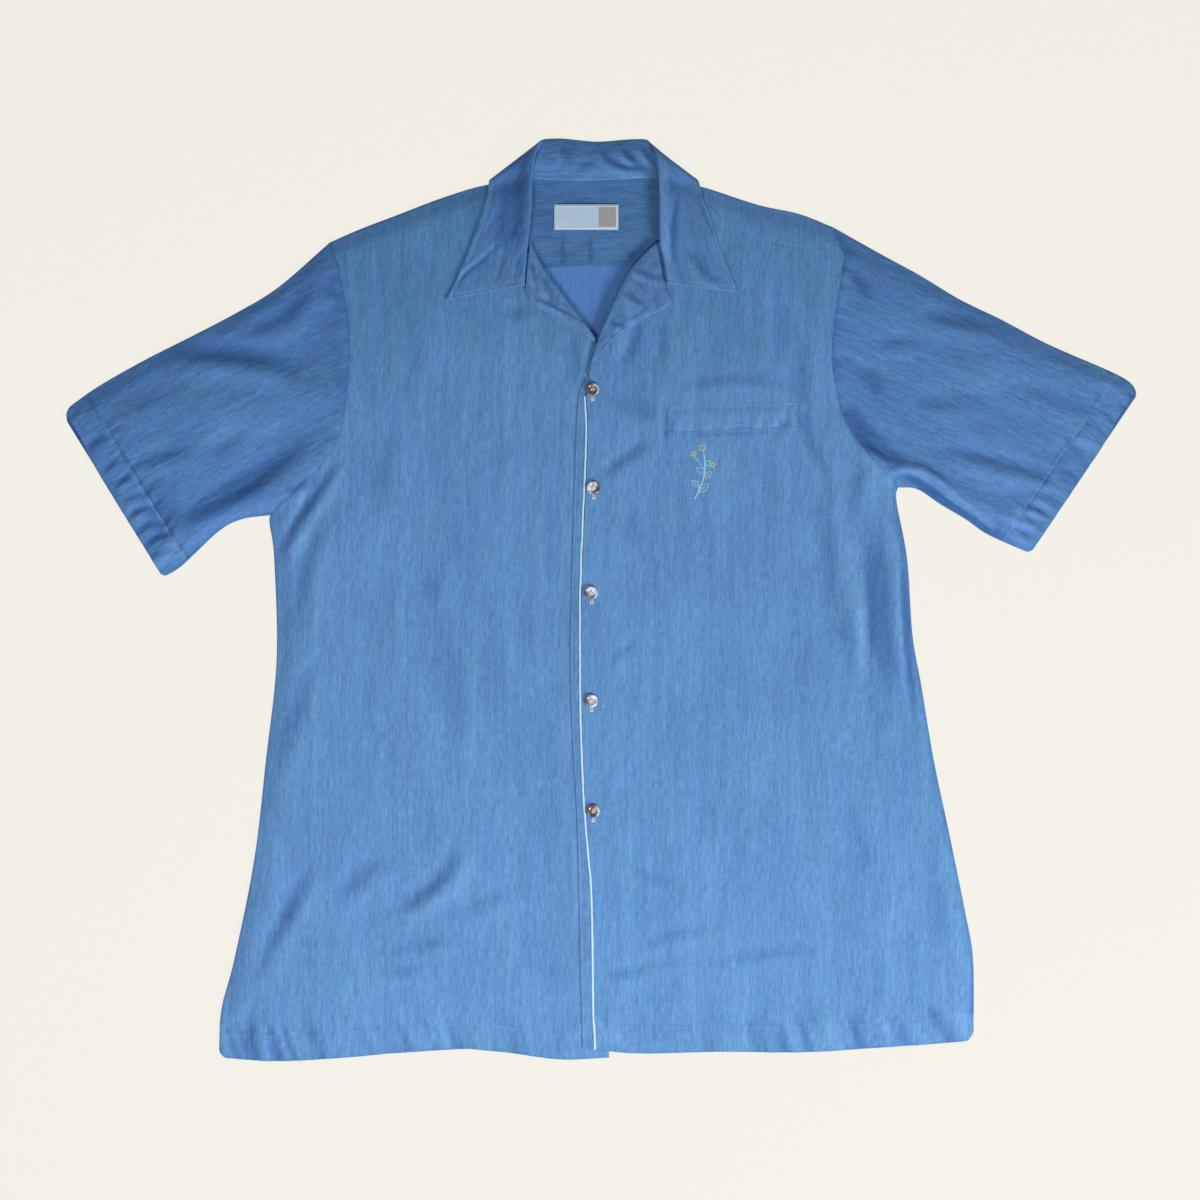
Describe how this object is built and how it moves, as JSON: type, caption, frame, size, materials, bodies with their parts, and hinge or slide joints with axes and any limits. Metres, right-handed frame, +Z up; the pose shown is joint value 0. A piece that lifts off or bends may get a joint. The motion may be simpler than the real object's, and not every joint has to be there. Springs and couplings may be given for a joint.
{
  "type": "short-sleeved camp-collar hawaiian shirt, laid flat",
  "caption": "Short-sleeved chambray camp-collar shirt laid flat with its front up: open notched collar, piped front edge, welt chest pocket, straight hem and shell-look buttons.",
  "frame": {"origin": "centre of the shirt's footprint, on the surface it lies on", "axes": "+X towards the wearer's left sleeve, +Y towards the collar, +Z up out of the shirt's front"},
  "size_m": [0.915, 0.7839, 0.0131],
  "materials": {
    "chambray": "blue slub chambray, matt with a faint sheen",
    "chambray_inside": "the chambray's turned-back side, matt",
    "white_piping": "white corded cotton",
    "woven_label": "pale blue-grey satin weave, bare",
    "shell_button": "polished brown and pearl shell look",
    "thread": "sewing and embroidery thread with a soft sheen"
  },
  "bodies": {
    "root": {"back": "chambray", "yoke": "chambray", "front_left": "chambray", "front_right": "chambray", "sleeve_left": "chambray", "sleeve_right": "chambray", "collar": "chambray", "lapel_left": "chambray_inside", "lapel_right": "chambray_inside", "front_band": "chambray", "piping": "white_piping", "pocket_band": "chambray", "label": "woven_label", "button_1": "shell_button", "button_2": "shell_button", "button_3": "shell_button", "button_4": "shell_button", "button_5": "shell_button"}
  },
  "joints": []
}
